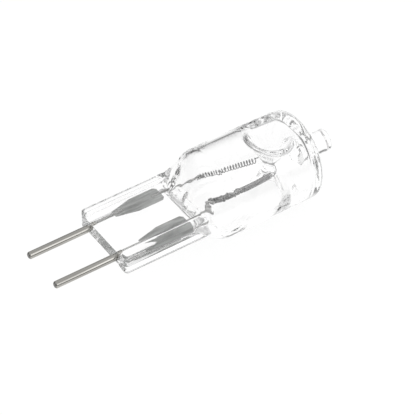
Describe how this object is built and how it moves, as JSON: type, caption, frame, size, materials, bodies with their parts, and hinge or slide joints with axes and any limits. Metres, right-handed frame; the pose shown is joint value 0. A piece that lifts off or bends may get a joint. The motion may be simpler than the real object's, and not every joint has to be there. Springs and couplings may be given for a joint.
{
  "type": "halogen bulb",
  "caption": "Clear quartz capsule halogen lamp with a flat pinch seal, two straight contact pins and a U-shaped coiled filament round a glass pillar.",
  "frame": {"origin": "middle of the seal's end face, between the two contact pins, on the lamp's axis", "axes": "+X along the lamp's axis from the pins to the exhaust tip, Y across the two pins, +Z square to the flat seal and up as the lamp lies"},
  "size_m": [0.0445, 0.0126, 0.0126],
  "materials": {
    "quartz": "clear fused quartz",
    "pin_metal": "drawn, satin",
    "lead_wire": "drawn",
    "foil": "matt rolled",
    "filament_wire": "drawn"
  },
  "bodies": {
    "root": {"glass_envelope": "quartz", "contact_pin_left": "pin_metal", "contact_pin_right": "pin_metal", "outer_lead_left": "lead_wire", "outer_lead_right": "lead_wire", "foil_left": "foil", "foil_right": "foil", "inner_lead_left": "lead_wire", "inner_lead_right": "lead_wire", "filament": "filament_wire"}
  },
  "joints": []
}
